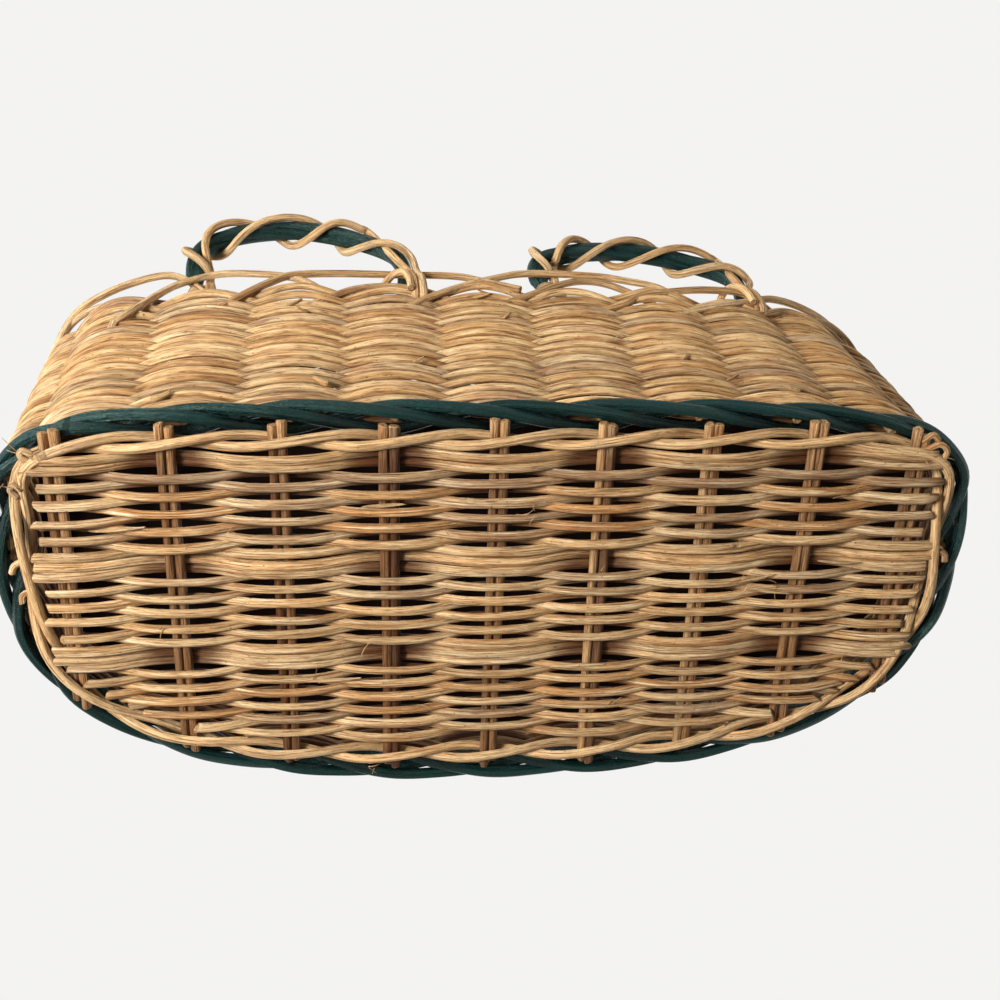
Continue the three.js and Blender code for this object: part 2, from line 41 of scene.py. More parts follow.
VIEW_UP = (-0.008835, 0.907943, 0.419001)
VIEW_BACK = (0.092758, 0.417955, -0.903720)
EYE = (0.05184, 0.285457, -0.51124)


def make_camera():
    data = bpy.data.cameras.new("camera")
    data.lens = 45.0
    data.sensor_width = 36.0
    data.clip_start = 0.01
    camera = bpy.data.objects.new("camera", data)
    bpy.context.scene.collection.objects.link(camera)
    rows = [[VIEW_RIGHT[i], VIEW_UP[i], VIEW_BACK[i], EYE[i]] for i in range(3)]
    camera.matrix_world = Matrix(rows + [[0, 0, 0, 1]])
    bpy.context.scene.camera = camera


make_camera()

# Plan of the basket in mm, measured from the middle of the base's stick lines. SHIFT moves it
# to the shared frame.
# A ring is: half width, depth to the back, depth to the front, and the roundness
# of the back corner at +X, of the back corner at -X, and of the front.
MM = 0.001
SHIFT = np.array([-0.015, 14.977, 0.0])
BASE = (212.0, 61.0, 108.0, 9.0, 7.5, 3.0)
FOOT = (221.0, 68.0, 120.0, 5.0, 4.8, 2.6)
RIM_CORNERS = (5.0, 3.3, 2.7)
# There are REACH stick pairs on each side of the middle one, and as many stakes at the back
# and at the front.
REACH = 4
PAIR_STEP = 49.0
STAKE_STEP = 46.5
STAKE_RADIUS = 2.0
# The middle of the base's sticks and the foot of the wall. From that foot, WALL_START and
# WALL_TOP are the first and the last row, measured up along the wall.
MID_Z = 6.254
WALE_Z = 14.44
WALL_START = 5.56
WALL_TOP = 112.96
ROWS = 31
BACK_LEAN, SIDE_LEAN, FRONT_LEAN = (math.radians(v) for v in (12.8, 0.8, 11.0))


def ring_point(ring, angle):
    """Points of a ring at the given angles from +X."""
    half, back, front, n_back, n_corner, n_front = ring
    c, s = np.cos(angle), np.sin(angle)
    n = np.where(s >= 0, np.where(c < 0, n_corner, n_back), n_front)
    depth = np.where(s >= 0, back, front)
    r = ((np.abs(c) / half) ** n + (np.abs(s) / depth) ** n) ** (-1 / n)
    return np.stack([r * c, r * s], -1)


def ring_angle(ring, x, back):
    """The angle at which a ring reaches x, at its back or at its front."""
    half, deep_back, deep_front, n_back, n_corner, n_front = ring
    n = (n_corner if x < 0 else n_back) if back else n_front
    depth = deep_back if back else -deep_front
    return math.atan2(depth * (1 - abs(x / half) ** n) ** (1 / n), x) % (2 * math.pi)


def ring_half(ring, y):
    """Half the width of a ring at y."""
    half, deep_back, deep_front, n_back, n_corner, n_front = ring
    n, depth = (n_back, deep_back) if y >= 0 else (n_front, deep_front)
    return half * (1 - min(1.0, abs(y / depth)) ** n) ** (1 / n)


class Stations:
    """Places along a ring by number: back, +X to -X, one side, front, the other side."""

    def __init__(self, ring, back_step, front_step, per_side):
        self.ring = ring
        self.angles = np.linspace(0, 2 * math.pi, 2881)
        p = ring_point(ring, self.angles)
        steps = np.linalg.norm(np.diff(p, axis=0), axis=1)
        self.lengths = np.concatenate([[0], np.cumsum(steps)])
        self.total = self.lengths[-1]

        def length(x, at_back):
            return float(np.interp(ring_angle(ring, x, at_back), self.angles, self.lengths))

        def between(a, b):
            return [a + (b - a) * (i + 1) / (per_side + 1) for i in range(per_side)]

        back = [length(-k * back_step, True) for k in range(-REACH, REACH + 1)]
        front = [length(k * front_step, False) for k in range(-REACH, REACH + 1)]
        marks = back + between(back[-1], front[0]) + front + between(front[-1], back[0] + self.total)
        self.count = len(marks)
        self.marks = np.array(marks + [marks[0] + self.total])

    def point(self, station):
        station = np.asarray(station, float)
        rest = station % self.count
        length = np.interp(rest, np.arange(self.count + 1), self.marks)
        angle = np.interp(length % self.total, self.lengths, self.angles)
        return ring_point(self.ring, angle)


stakes = Stations(FOOT, STAKE_STEP, PAIR_STEP, per_side=3)
edge = Stations(BASE, PAIR_STEP, PAIR_STEP, per_side=1)
# The rods of the binding and the wall have a point at each such part of a station.
STATION_STEP = 1 / 14
RISE = WALL_TOP * math.cos(BACK_LEAN)
WIDEN = 1 + RISE * math.tan(SIDE_LEAN) / FOOT[0]
DEEPEN_BACK = 1 + RISE * math.tan(BACK_LEAN) / FOOT[1]
DEEPEN_FRONT = 1 + RISE * math.tan(FRONT_LEAN) / FOOT[2]
RIM = (FOOT[0] * WIDEN, FOOT[1] * DEEPEN_BACK, FOOT[2] * DEEPEN_FRONT, *RIM_CORNERS)


def unit(v):
    return v / np.maximum(np.linalg.norm(v, axis=-1, keepdims=True), 1e-12)


def with_z(xy, z):
    return np.concatenate([xy, np.broadcast_to(np.asarray(z, float), xy.shape[:-1])[..., None]], -1)


def wall_frame(station):
    """At a station of the wall: its foot, the way up along it and the way out of it."""
    station = np.asarray(station, float)
    foot = stakes.point(station)
    along = with_z(stakes.point(station + 0.05) - stakes.point(station - 0.05), 0.0)
    deepen = np.where(foot[..., 1] > 0, DEEPEN_BACK, DEEPEN_FRONT)
    rim = ring_point(RIM, np.arctan2(foot[..., 1] * deepen, foot[..., 0] * WIDEN))
    up = unit(with_z(rim - foot, RISE))
    return with_z(foot, WALE_Z), up, unit(np.cross(along, up))


def on_wall(station, height, offset):
    """Points of the wall from their station, height up along it and distance out of it."""
    base, up, out = wall_frame(station)
    return base + up * np.asarray(height, float)[..., None] + out * np.asarray(offset, float)[..., None]


def edge_point(station, offset, z):
    """A point beside the edge of the base."""
    d = unit(edge.point(station + 0.04) - edge.point(station - 0.04))
    out = np.stack([d[..., 1], -d[..., 0]], -1)
    return with_z(edge.point(station) + out * np.asarray(offset, float)[..., None], z)


def smooth_path(points, step=2.5, closed=False):
    """A rounded curve through the points, in steps of about the given length."""
    p = np.asarray(points, float)
    if closed:
        p = np.concatenate([p[-1:], p, p[:2]])
    else:
        p = np.concatenate([2 * p[:1] - p[1:2], p, 2 * p[-1:] - p[-2:-1]])
    out = []
    for a, b, c, d in zip(p[:-3], p[1:-2], p[2:-1], p[3:]):
        n = max(2, int(round(np.linalg.norm(c[:3] - b[:3]) / step)))
        t = (np.arange(n) / n)[:, None]
        bend = (2 * a - 5 * b + 4 * c - d) * t ** 2 + (3 * b - a - 3 * c + d) * t ** 3
        out.append(0.5 * (2 * b + (c - a) * t + bend))
    if not closed:
        out.append(p[-2:-1])
    return np.concatenate(out)


# The three rings of a rod's cut end, from its edge to its middle: their share of the rod's
# radius, how far they are sunk in mm, and the mark that the material reads
CAP_SHARE = (0.86, 0.4, 0.0)
CAP_SINK = (0.0, 0.12, 0.2)
CAP_MARK = (1.0, 0.55, 0.1)


class Rods:
    """Rods that make one piece: each is a fluted tube, closed in a loop or with cut ends."""

    def __init__(self, seed):
        self.rng = np.random.default_rng(seed)
        self.parts = []
        self.count = 0

    def add(self, points, radius, up=(0, 0, 1), wide=1.0, thick=1.0, sides=12, tint=None, deep=0.0,
            closed=False, flute=0.05, cut=(0.0, 0.0), bevel=0.35):
        """wide is across the up direction and thick along it; cut slants the ends, in radii.
        deep is how far each point lies inside the weave, where painted shade makes the rod darker."""
        rng = self.rng
        p = np.asarray(points, float)
        n = len(p)
        r = np.broadcast_to(np.asarray(radius, float), (n,)).copy()
        if closed:
            tangent = unit(np.roll(p, -1, 0) - np.roll(p, 1, 0))
        else:
            tangent = unit(np.gradient(p, axis=0))
        across = unit(np.cross(np.broadcast_to(np.asarray(up, float), (n, 3)), tangent))
        lift = np.cross(tangent, across)
        th = 2 * math.pi * np.arange(sides) / sides
        ph = rng.uniform(0, 2 * math.pi, 3)
        steps = np.linalg.norm(np.diff(p, axis=0), axis=1)
        length = np.concatenate([[0], np.cumsum(steps)])
        turn = 0.6 * np.sin(length / 60 + ph[0])[:, None]
        groove = 0.5 * np.cos(5 * th + ph[0] + turn) + 0.35 * np.cos(8 * th + ph[1])
        groove = 1 + flute * (groove + 0.3 * np.cos(3 * th + ph[2]))
        wide = np.broadcast_to(np.asarray(wide, float), (n,))[:, None]
        thick = np.broadcast_to(np.asarray(thick, float), (n,))[:, None]
        r = r * (1 + 0.03 * np.sin(length / 19 + ph[0]) + 0.02 * np.sin(length / 7 + ph[1]))
        side_way = (np.cos(th) * groove * wide * r[:, None])[..., None] * across[:, None]
        up_way = (np.sin(th) * groove * thick * r[:, None])[..., None] * lift[:, None]
        ring = p[:, None] + side_way + up_way
        co = np.empty((n, sides, 3))
        co[..., 0] = r[:, None] * np.cos(th)
        co[..., 1] = r[:, None] * np.sin(th)
        co[..., 2] = (length + rng.uniform(0, 4000))[:, None]
        rings, cos, caps = [ring], [co], [np.zeros((n, sides))]
        if not closed:
            for end, sign in ((0, -1), (-1, 1)):
                slant = cut[0 if end == 0 else 1] * r[end] * (1 + np.sin(th + ph[2]))
                ring[end] += tangent[end] * (sign * slant)[:, None]
                rim = ring[end] + tangent[end] * (sign * bevel)
                middle = rim.mean(0, keepdims=True)
                sunk = tangent[end] * sign * np.array(CAP_SINK)[:, None, None]
                cap_ring = np.stack([middle + (rim - middle) * k for k in CAP_SHARE]) - sunk
                cap_co = np.stack([co[end] * [k, k, 1] for k in CAP_SHARE])
                cap_mark = np.repeat(np.array(CAP_MARK)[:, None], sides, 1)
                if end == 0:
                    rings.insert(0, cap_ring[::-1])
                    cos.insert(0, cap_co[::-1])
                    caps.insert(0, cap_mark[::-1])
                else:
                    rings.append(cap_ring)
                    cos.append(cap_co)
                    caps.append(cap_mark)
        verts = np.concatenate(rings).reshape(-1, 3)
        total = len(verts) // sides
        i = np.arange(total if closed else total - 1)[:, None]
        j = np.arange(sides)[None]
        nxt, jn = (i + 1) % total, (j + 1) % sides
        corners = [i * sides + j, i * sides + jn, nxt * sides + jn, nxt * sides + j]
        faces = np.stack(corners, -1).reshape(-1, 4)
        tint = rng.uniform() if tint is None else tint
        # Each rod's random tone, less the painted shade of how deep it lies in the weave
        shade = rng.normal() * 0.35 - np.broadcast_to(np.asarray(deep, float), (n,))
        if not closed:
            shade = np.concatenate([np.repeat(shade[:1], 3), shade, np.repeat(shade[-1:], 3)])
        m = len(verts)
        self.parts.append((verts, faces + self.count, np.concatenate(cos).reshape(-1, 3),
                           np.concatenate(caps).reshape(-1), np.full(m, tint), np.repeat(shade, sides)))
        self.count += m

    def piece(self, name, material, slot, *nodes):
        v = (np.concatenate([q[0] for q in self.parts]) + SHIFT) * MM
        f = np.concatenate([q[1] for q in self.parts])
        mesh = bpy.data.meshes.new(name)
        mesh.vertices.add(len(v))
        mesh.vertices.foreach_set("co", v.astype(np.float32).ravel())
        mesh.loops.add(f.size)
        mesh.loops.foreach_set("vertex_index", f.astype(np.int32).ravel())
        mesh.polygons.add(len(f))
        mesh.polygons.foreach_set("loop_start", np.arange(0, f.size, 4, dtype=np.int32))
        mesh.polygons.foreach_set("use_smooth", np.ones(len(f), bool))
        mesh.update(calc_edges=True)
        for key, column in (("rod_co", 2), ("cap", 3), ("tint", 4), ("shade", 5)):
            data = np.concatenate([q[column] for q in self.parts]).astype(np.float32)
            vector = data.ndim == 2
            layer = mesh.attributes.new(key, "FLOAT_VECTOR" if vector else "FLOAT", "POINT")
            layer.data.foreach_set("vector" if vector else "value", data.ravel())
        mesh.validate()
        mesh.materials.append(material)
        obj = bpy.data.objects.new(name, mesh)
        bpy.context.scene.collection.objects.link(obj)
        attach(obj, "root")
        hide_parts(*nodes)


class Nodes:
    """Short calls for the shader nodes of one material."""

    def __init__(self, name):
        self.mat = bpy.data.materials.new(name)
        self.mat.use_nodes = True
        self.tree = self.mat.node_tree
        self.tree.nodes.clear()
        self.out = self.tree.nodes.new("ShaderNodeOutputMaterial")
        self.bsdf = self.tree.nodes.new("ShaderNodeBsdfPrincipled")
        self.link(self.bsdf.outputs[0], self.out.inputs[0])

    def link(self, a, b):
        self.tree.links.new(a, b)

    def attr(self, name, vector=False):
        n = self.tree.nodes.new("ShaderNodeAttribute")
        n.attribute_name = name
        return n.outputs["Vector" if vector else "Fac"]

    def noise(self, vector, scale, stretch=(1, 1, 1), detail=3.0, rough=0.55, distort=0.0):
        m = self.tree.nodes.new("ShaderNodeMapping")
        m.inputs["Scale"].default_value = stretch
        self.link(vector, m.inputs["Vector"])
        n = self.tree.nodes.new("ShaderNodeTexNoise")
        n.inputs["Scale"].default_value = scale
        n.inputs["Detail"].default_value = detail
        n.inputs["Roughness"].default_value = rough
        n.inputs["Distortion"].default_value = distort
        self.link(m.outputs[0], n.inputs["Vector"])
        return n.outputs["Fac"]

    def math(self, op, a, b=0.0, clamp=False):
        n = self.tree.nodes.new("ShaderNodeMath")
        n.operation = op
        n.use_clamp = clamp
        for socket, value in zip(n.inputs, (a, b)):
            if isinstance(value, (int, float)):
                socket.default_value = value
            else:
                self.link(value, socket)
        return n.outputs[0]

    def spread(self, value, low, high, to_low=0.0, to_high=1.0):
        n = self.tree.nodes.new("ShaderNodeMapRange")
        n.interpolation_type = "SMOOTHSTEP"
        self.link(value, n.inputs["Value"])
        for key, v in (("From Min", low), ("From Max", high), ("To Min", to_low), ("To Max", to_high)):
            n.inputs[key].default_value = v
        return n.outputs["Result"]

    def ramp(self, value, stops):
        n = self.tree.nodes.new("ShaderNodeValToRGB")
        while len(n.color_ramp.elements) < len(stops):
            n.color_ramp.elements.new(0.5)
        for element, (at, colour) in zip(n.color_ramp.elements, stops):
            element.position = at
            element.color = (*colour, 1)
        self.link(value, n.inputs[0])
        return n.outputs[0]

    def mix(self, factor, a, b, mode="MIX"):
        n = self.tree.nodes.new("ShaderNodeMix")
        n.data_type = "RGBA"
        n.blend_type = mode
        for socket, value in ((n.inputs["Factor"], factor), (n.inputs[6], a), (n.inputs[7], b)):
            if isinstance(value, (int, float)):
                socket.default_value = value
            elif isinstance(value, tuple):
                socket.default_value = (*value, 1)
            else:
                self.link(value, socket)
        return n.outputs[2]

    def grey(self, value):
        n = self.tree.nodes.new("ShaderNodeCombineColor")
        for k in range(3):
            self.link(value, n.inputs[k])
        return n.outputs[0]

    def bump(self, height, strength, distance, normal=None):
        n = self.tree.nodes.new("ShaderNodeBump")
        n.inputs["Strength"].default_value = strength
        n.inputs["Distance"].default_value = distance
        self.link(height, n.inputs["Height"])
        if normal:
            self.link(normal, n.inputs["Normal"])
        return n.outputs[0]


def srgb(r, g, b):
    return tuple(((v / 255 + 0.055) / 1.055) ** 2.4 if v > 10 else v / 255 / 12.92 for v in (r, g, b))


# A peeled rod's markings, the tint of its painted shade, the colours of its cut end from the middle to
# the edge, and its gloss
FIBRE, STAIN, BLUSH = srgb(106, 66, 34), srgb(142, 112, 84), srgb(196, 130, 84)
# The last colour on the next line tints the painted shade where a rod lies deep in the weave.
SPECK, CRACK, PAINTED_SHADE_TINT = srgb(78, 46, 26), srgb(84, 52, 28), srgb(138, 96, 66)
PITH = [(0.0, srgb(70, 44, 26)), (0.2, srgb(128, 86, 50)), (0.45, srgb(222, 184, 132)),
        (0.8, srgb(196, 150, 100)), (1.0, srgb(120, 80, 46))]
PITH_GRAIN = srgb(84, 52, 30)
PEELED_GLOSS = 0.2
# The green dye, its markings, its painted highlight streaks and its painted shade
GREEN = [(0.1, srgb(3, 20, 18)), (0.4, srgb(4, 30, 27)), (0.7, srgb(4, 34, 34)),
         (0.95, srgb(12, 42, 34))]
GREEN_STREAK, GREEN_HIGHLIGHT = srgb(1, 8, 9), srgb(24, 70, 60)
GREEN_SCUFF, GREEN_SHADE = srgb(104, 122, 100), srgb(1, 6, 7)
GREEN_GLOSS = 0.4
GREEN_SHEEN = (0.6, 0.95, 0.85, 1)


def peeled_rod(name, stops, pale, dark, stain_most=0.4):
    """Dry peeled rod: a tint for each rod, fibre streaks, stains, specks, cracks, a cut end and painted
    shade.
    """
    n = Nodes(name)
    co, tint, shade, cap = n.attr("rod_co", True), n.attr("tint"), n.attr("shade"), n.attr("cap")
    drift = n.noise(co, 0.014, (3, 3, 1), 2.0)
    tone = n.math("ADD", tint, n.math("MULTIPLY", n.math("SUBTRACT", drift, 0.5), 0.9), clamp=True)
    colour = n.ramp(tone, stops)
    broad = n.noise(co, 1.0, (0.62, 0.62, 0.02), 3.0, 0.6)
    streak = n.noise(co, 1.0, (1.2, 1.2, 0.035), 4.0, 0.65)
    fine = n.noise(co, 1.0, (3.0, 3.0, 0.10), 3.0, 0.6)
    colour = n.mix(n.spread(broad, 0.50, 0.66, 0.0, 0.5), colour, dark)
    colour = n.mix(n.spread(broad, 0.46, 0.34, 0.0, 0.6), colour, pale)
    colour = n.mix(n.spread(streak, 0.51, 0.64, 0.0, 0.85), colour, dark)
    colour = n.mix(n.spread(streak, 0.46, 0.32, 0.0, 0.85), colour, pale)
    colour = n.mix(n.spread(fine, 0.53, 0.66, 0.0, 0.75), colour, FIBRE)
    colour = n.mix(n.spread(fine, 0.44, 0.30, 0.0, 0.4), colour, pale)
    stain = n.noise(co, 0.05, (2, 2, 1), 3.0, 0.6, 0.4)
    colour = n.mix(n.spread(stain, 0.58, 0.78, 0.0, stain_most), colour, STAIN)
    blush = n.noise(co, 0.03, (3, 3, 1), 3.0, 0.6, 0.3)
    colour = n.mix(n.spread(blush, 0.56, 0.74, 0.0, 0.35), colour, BLUSH)
    speck = n.noise(co, 0.8, (1.4, 1.4, 0.7), 2.0, 0.5)
    colour = n.mix(n.spread(speck, 0.68, 0.75, 0.0, 0.8), colour, SPECK)
    crack = n.noise(co, 1.0, (1.3, 1.3, 0.018), 2.0, 0.5)
    cleft = n.math("ABSOLUTE", n.math("SUBTRACT", crack, 0.5))
    split = n.spread(cleft, 0.0, 0.02, 1.0, 0.0)
    colour = n.mix(n.math("MULTIPLY", split, 0.6), colour, CRACK)
    # Painted shade: the rod is darker where it lies deep in the weave, mixed with its random tone.
    tone_and_shade = n.math("ADD", n.math("MULTIPLY", n.math("MINIMUM", shade, 0.6), 0.22), 1.0)
    recess_shade = n.spread(shade, -0.3, -2.0, 0.0, 0.92)
    colour = n.mix(1.0, colour, n.grey(tone_and_shade), "MULTIPLY")
    colour = n.mix(recess_shade, colour, n.mix(1.0, colour, PAINTED_SHADE_TINT, "MULTIPLY"))
    grain = n.noise(co, 2.0, (1, 1, 0.6), 2.0, 0.6)
    pith = n.ramp(cap, PITH)
    pith = n.mix(n.spread(grain, 0.45, 0.7, 0.0, 0.8), pith, PITH_GRAIN)
    colour = n.mix(n.spread(cap, 0.02, 0.1), colour, pith)
    n.link(colour, n.bsdf.inputs["Base Color"])
    n.link(n.spread(streak, 0.3, 0.7, 0.46, 0.68), n.bsdf.inputs["Roughness"])
    n.bsdf.inputs["Specular IOR Level"].default_value = PEELED_GLOSS
    bump = n.bump(broad, 1.0, 0.0014)
    bump = n.bump(streak, 1.0, 0.0011, bump)
    bump = n.bump(fine, 0.8, 0.0003, bump)
    bump = n.bump(split, -0.6, 0.0004, bump)
    bump = n.bump(grain, 0.5, 0.0002, bump)
    n.link(bump, n.bsdf.inputs["Normal"])
    return n.mat


def green_rod(name):
    """Dark green dyed rod under varnish, with streaks, scuffs, painted highlight streaks and painted
    shade.
    """
    n = Nodes(name)
    co, tint, shade = n.attr("rod_co", True), n.attr("tint"), n.attr("shade")
    drift = n.noise(co, 0.03, (3, 3, 1), 3.0, 0.6)
    tone = n.math("ADD", n.math("MULTIPLY", tint, 0.6), n.math("MULTIPLY", drift, 0.5), clamp=True)
    colour = n.ramp(tone, GREEN)
    streak = n.noise(co, 1.0, (1.1, 1.1, 0.04), 4.0, 0.65)
    colour = n.mix(n.spread(streak, 0.50, 0.68, 0.0, 0.85), colour, GREEN_STREAK)
    # Painted highlight: lighter streaks along the rod.
    colour = n.mix(n.spread(streak, 0.42, 0.26, 0.0, 0.55), colour, GREEN_HIGHLIGHT)
    scuff = n.noise(co, 0.35, (2.4, 2.4, 0.5), 4.0, 0.7)
    colour = n.mix(n.spread(scuff, 0.66, 0.76, 0.0, 0.45), colour, GREEN_SCUFF)
    # Painted shade: the rod is darker where it lies inside the wale.
    colour = n.mix(n.spread(shade, -0.6, -2.0, 0.0, 0.9), colour, GREEN_SHADE)
    n.link(colour, n.bsdf.inputs["Base Color"])
    n.link(n.spread(scuff, 0.4, 0.7, 0.2, 0.45), n.bsdf.inputs["Roughness"])
    n.bsdf.inputs["Specular IOR Level"].default_value = GREEN_GLOSS
    n.bsdf.inputs["Specular Tint"].default_value = GREEN_SHEEN
    grain = n.noise(co, 1.8, (1, 1, 0.5), 3.0, 0.6)
    bump = n.bump(streak, 1.0, 0.0010)
    n.link(n.bump(grain, 0.6, 0.0004, bump), n.bsdf.inputs["Normal"])
    return n.mat


# The colours of peeled rods by their tint, from 0 to 1: tan, then pale, then greyish
WALL = [(0.0, srgb(182, 137, 86)), (0.25, srgb(196, 153, 101)), (0.5, srgb(205, 165, 113)),
        (0.75, srgb(211, 176, 129)), (0.9, srgb(187, 157, 118)), (1.0, srgb(160, 133, 106))]
WEAVE = [(0.0, srgb(202, 148, 92)), (0.25, srgb(219, 170, 113)), (0.5, srgb(229, 184, 128)),
         (0.75, srgb(234, 195, 142)), (0.9, srgb(208, 170, 126)), (1.0, srgb(182, 148, 112))]
STICK = [(0.0, srgb(170, 120, 74)), (0.4, srgb(198, 148, 98)), (0.75, srgb(216, 170, 118)),
         (1.0, srgb(176, 142, 106))]
wall_mat = peeled_rod("wall_rod", WALL, srgb(240, 208, 156), srgb(150, 102, 60), 0.55)
base_mat = peeled_rod("base_rod", WEAVE, srgb(255, 234, 190), srgb(136, 88, 50))
stick_mat = peeled_rod("stick_rod", STICK, srgb(236, 196, 144), srgb(116, 76, 44), 0.5)
binding_mat = peeled_rod("binding_rod", WEAVE, srgb(244, 214, 168), srgb(150, 106, 66))
border_mat = peeled_rod("border_rod", WALL, srgb(240, 208, 160), srgb(146, 102, 64))
green_mat = green_rod("green_rod")


STICK_APART = 2.15
STICK_RADIUS = (2.1, 2.3)
# How far the sticks' ends stand past the base's ring at its sides, its back and its front
STICK_PAST = (6.0, 7.5, 5.0)


def base_sticks():
    """Nine pairs of sticks, front to back, with ends that stick out past the binding."""
    rods = Rods(11)
    rng = rods.rng
    ends = (*(size + past for size, past in zip(BASE, STICK_PAST)), *BASE[3:])
    t = np.linspace(0, 1, 60)
    for k in range(-REACH, REACH + 1):
        for side in (-1, 1):
            x = k * PAIR_STEP + side * STICK_APART
            rear = ring_point(ends, ring_angle(ends, x, True))[1] + rng.uniform(-1.5, 2.0)
            front = ring_point(ends, ring_angle(ends, x, False))[1] + rng.uniform(-2.5, 1.5)
            y = rear + (front - rear) * t
            bow = rng.uniform(-0.6, 0.6)
            path = np.stack([x + bow * np.sin(t * 5 + k), y, MID_Z + 0.25 * np.sin(y / 17 + k)], -1)
            # Painted shade: each stick is darker along its length, but not near its rear end.
            deep = 1.0 - np.clip(1 - np.arange(len(t)) / 5, 0, 1)
            swell = 1 + 0.12 * np.clip(1 - np.arange(len(t)) / 4, 0, 1)
            rods.add(path, rng.uniform(*STICK_RADIUS) * swell, thick=0.95, sides=14, flute=0.13,
                     cut=(rng.uniform(0, 0.35), rng.uniform(0, 0.4)), bevel=0.6, deep=deep)
    rods.piece("base_sticks", stick_mat, "base_sticks", *[f"base_stick_pair_{k}" for k in range(1, 10)])


# The base's rows: y of the rods in each band, and the number and pitch of the single rods that
# follow it
ROW_LIFT = 3.85
BAND_Y = ((53.5, 48.8), (5.9, 1.1, -3.8), (-43.8, -48.7, -52.9))
SINGLES = ((9, 4.29), (9, 4.0), (11, 3.84))
BAND_INSET, SINGLE_INSET = 1.5, 6.5
BAND_RADIUS, SINGLE_RADIUS = (2.2, 2.5), (1.95, 2.4)
# No single rod ends nearer than this before a stick pair or past it. One that would end too
# near past a pair is cut back to before it.
LEAST_BEFORE, LEAST_PAST, CUT_BACK = 5.0, 3.0, 5.5


def row_layout():
    """Each base row as (is it one of a band, does it pass low under the odd pairs, y)."""
    rows = []
    for band, (count, pitch) in zip(BAND_Y, SINGLES):
        rows += [(True, False, y) for y in band]
        rows += [(False, i % 2 == 0, band[-1] - pitch * (i + 1)) for i in range(count)]
    return rows


# Places on the underside where fibres stand off: x, y, how many and how long
FRAYS = ((-120, -11, 5, 13), (-136, -13, 4, 10), (-116, 8, 3, 9), (-161, 37, 4, 8), (0, 33, 4, 9),
         (-14, 28, 4, 8), (66, -49, 2, 17), (61, -112, 3, 6), (-50, -6, 2, 6), (84, -62, 3, 12),
         (204, 57, 6, 10), (212, 42, 4, 7), (-207, 52, 3, 6), (150, -30, 2, 7), (-60, -80, 3, 9),
         (30, -75, 2, 8), (-175, -60, 3, 7), (120, 20, 2, 6), (-90, 50, 2, 7), (20, 12, 2, 6))
# Split slips of rod that lie on the rows: x, y of both ends
SLIPS = ((90, -61, 66, -60), (-118, -10, -132, -7), (-122, -14, -140, -17), (10, -20, 24, -19),
         (-172, -1, -156, 0), (60, 31, 44, 32), (180, 20, 160, 21.5), (-30, -56, -52, -55))


def frays(rods):
    rng = rods.rng
    t = np.linspace(0, 1, 7)[:, None]
    for x, y, count, length in FRAYS:
        for _ in range(count):
            turn = rng.uniform(0, 2 * math.pi)
            way = np.array([math.cos(turn), math.sin(turn) * 0.7, 0])
            bend = np.array([-way[1], way[0], 0]) * rng.uniform(-0.5, 0.5)
            start = np.array([x + rng.normal() * 2.5, y + rng.normal() * 2.0, 0.9])
            path = start + (way * t + bend * t ** 2) * length * rng.uniform(0.5, 1.1)
            path[:, 2] -= np.sin(t[:, 0] * 2) * rng.uniform(0.1, 0.45)
            rods.add(path, np.linspace(0.24, 0.09, 7), sides=5, flute=0, tint=rng.uniform(0, 1),
                     bevel=0.05)
    for x0, y0, x1, y1 in SLIPS:
        path = np.array([x0, y0, 0.8]) + np.array([x1 - x0, y1 - y0, 0]) * t
        path[:, 2] -= 0.35 * np.sin(t[:, 0] * math.pi)
        rods.add(path, 0.75 * (0.35 + np.sin(t[:, 0] * 2.6 + 0.3)), thick=0.5, sides=8, tint=0.8,
                 cut=(2.5, 3.0))


def base_rows():
    """Single rods and bands that go over and under the stick pairs, and their loose fibres."""
    rods = Rods(23)
    rng = rods.rng
    for banded, low_at_odd, y in row_layout():
        inset = BAND_INSET if banded else SINGLE_INSET
        inner = (BASE[0] - inset, BASE[1] - 1.0, BASE[2] - inset * 0.8, *BASE[3:])
        ends = [ring_half(inner, y) + rng.uniform(-3.5, 1.0) for _ in range(2)]
        for e in range(2):
            past = ends[e] % PAIR_STEP
            if not banded and past > PAIR_STEP - LEAST_BEFORE:
                ends[e] -= past - (PAIR_STEP - LEAST_BEFORE)
            elif not banded and past < LEAST_PAST:
                ends[e] -= past + CUT_BACK
        x = np.append(np.arange(-ends[0], ends[1], 2.2), ends[1])
        phase = np.cos(math.pi * x / PAIR_STEP)
        wave = phase * (1.28 - 0.28 * phase ** 2) * (1 if low_at_odd else -1)
        wobble = 0.45 * np.sin(x / rng.uniform(30, 60) + rng.uniform(0, 6))
        wobble += 0.25 * np.sin(x / rng.uniform(12, 20) + rng.uniform(0, 6)) + rng.uniform(-0.25, 0.25)
        path = np.stack([x, y + wobble, MID_Z + ROW_LIFT * wave], -1)
        radius = rng.uniform(*(BAND_RADIUS if banded else SINGLE_RADIUS))
        taper = np.linspace(rng.uniform(0.97, 1.05), rng.uniform(0.92, 1.0), len(x))
        slants = (rng.uniform(0.2, 1.6), rng.uniform(0.0, 1.0))
        # Painted shade: the row is darker where it passes up, on the inside of the sticks.
        deep = 1.8 * np.clip(wave - 0.05, 0, 1)
        rods.add(path, radius * taper, thick=0.84, sides=16, flute=0.15, cut=slants, deep=deep)
    frays(rods)
    nodes = [f"base_band_{k}" for k in (1, 2, 3)] + [f"base_weaver_{k:02d}" for k in range(1, 30)]
    rods.piece("base_rows", base_mat, "base_rods", *nodes)


